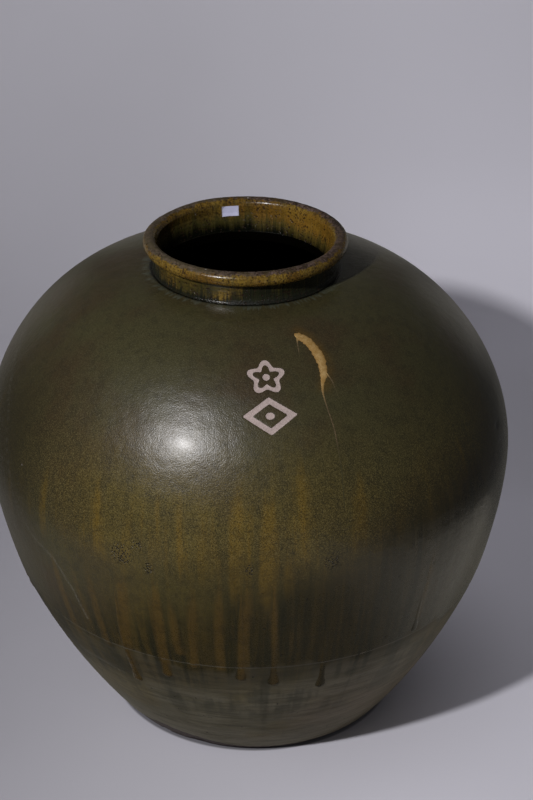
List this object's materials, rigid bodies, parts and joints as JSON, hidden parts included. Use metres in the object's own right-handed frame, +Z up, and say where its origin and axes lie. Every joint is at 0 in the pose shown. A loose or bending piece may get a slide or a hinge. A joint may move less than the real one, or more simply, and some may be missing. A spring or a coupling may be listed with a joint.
{
  "type": "glazed storage jar",
  "caption": "Large round-shouldered stoneware jar with a dark olive glaze, short collar neck, thick rolled rim and flat foot.",
  "frame": {"origin": "centre of the flat foot, on the surface that the jar stands on", "axes": "+Z up along the jar, -Y towards the front that the picture shows, +X to its right; the jar leans about 2 percent of its height towards -X"},
  "size_m": [0.5598, 0.5598, 0.5421],
  "materials": {
    "bare_clay": "matte unglazed purple-brown stoneware",
    "body_glaze": "satin speckled olive-brown glaze",
    "collar_glaze": "glossy ochre and black streaked glaze",
    "rim_glaze": "satin mustard-ochre glaze with dark specks",
    "label_paper": "matte blank paper",
    "ochre_drip": "satin ochre glaze",
    "rust_runs": "glossy rust-brown glaze"
  },
  "bodies": {
    "root": {"base_slab": "bare_clay", "lower_wall": "body_glaze", "belly_wall": "body_glaze", "shoulder_dome": "body_glaze", "neck_collar": "collar_glaze", "rim_roll": "rim_glaze", "paper_label": "label_paper", "shoulder_drip": "ochre_drip", "glaze_run_01": "rust_runs", "glaze_run_02": "rust_runs", "glaze_run_03": "rust_runs", "glaze_run_04": "rust_runs", "glaze_run_05": "rust_runs", "glaze_run_06": "rust_runs", "glaze_run_07": "rust_runs", "glaze_run_08": "rust_runs", "glaze_run_09": "rust_runs", "glaze_run_10": "rust_runs", "glaze_run_11": "rust_runs", "glaze_run_12": "rust_runs", "glaze_run_13": "rust_runs", "glaze_run_14": "rust_runs"}
  },
  "joints": []
}
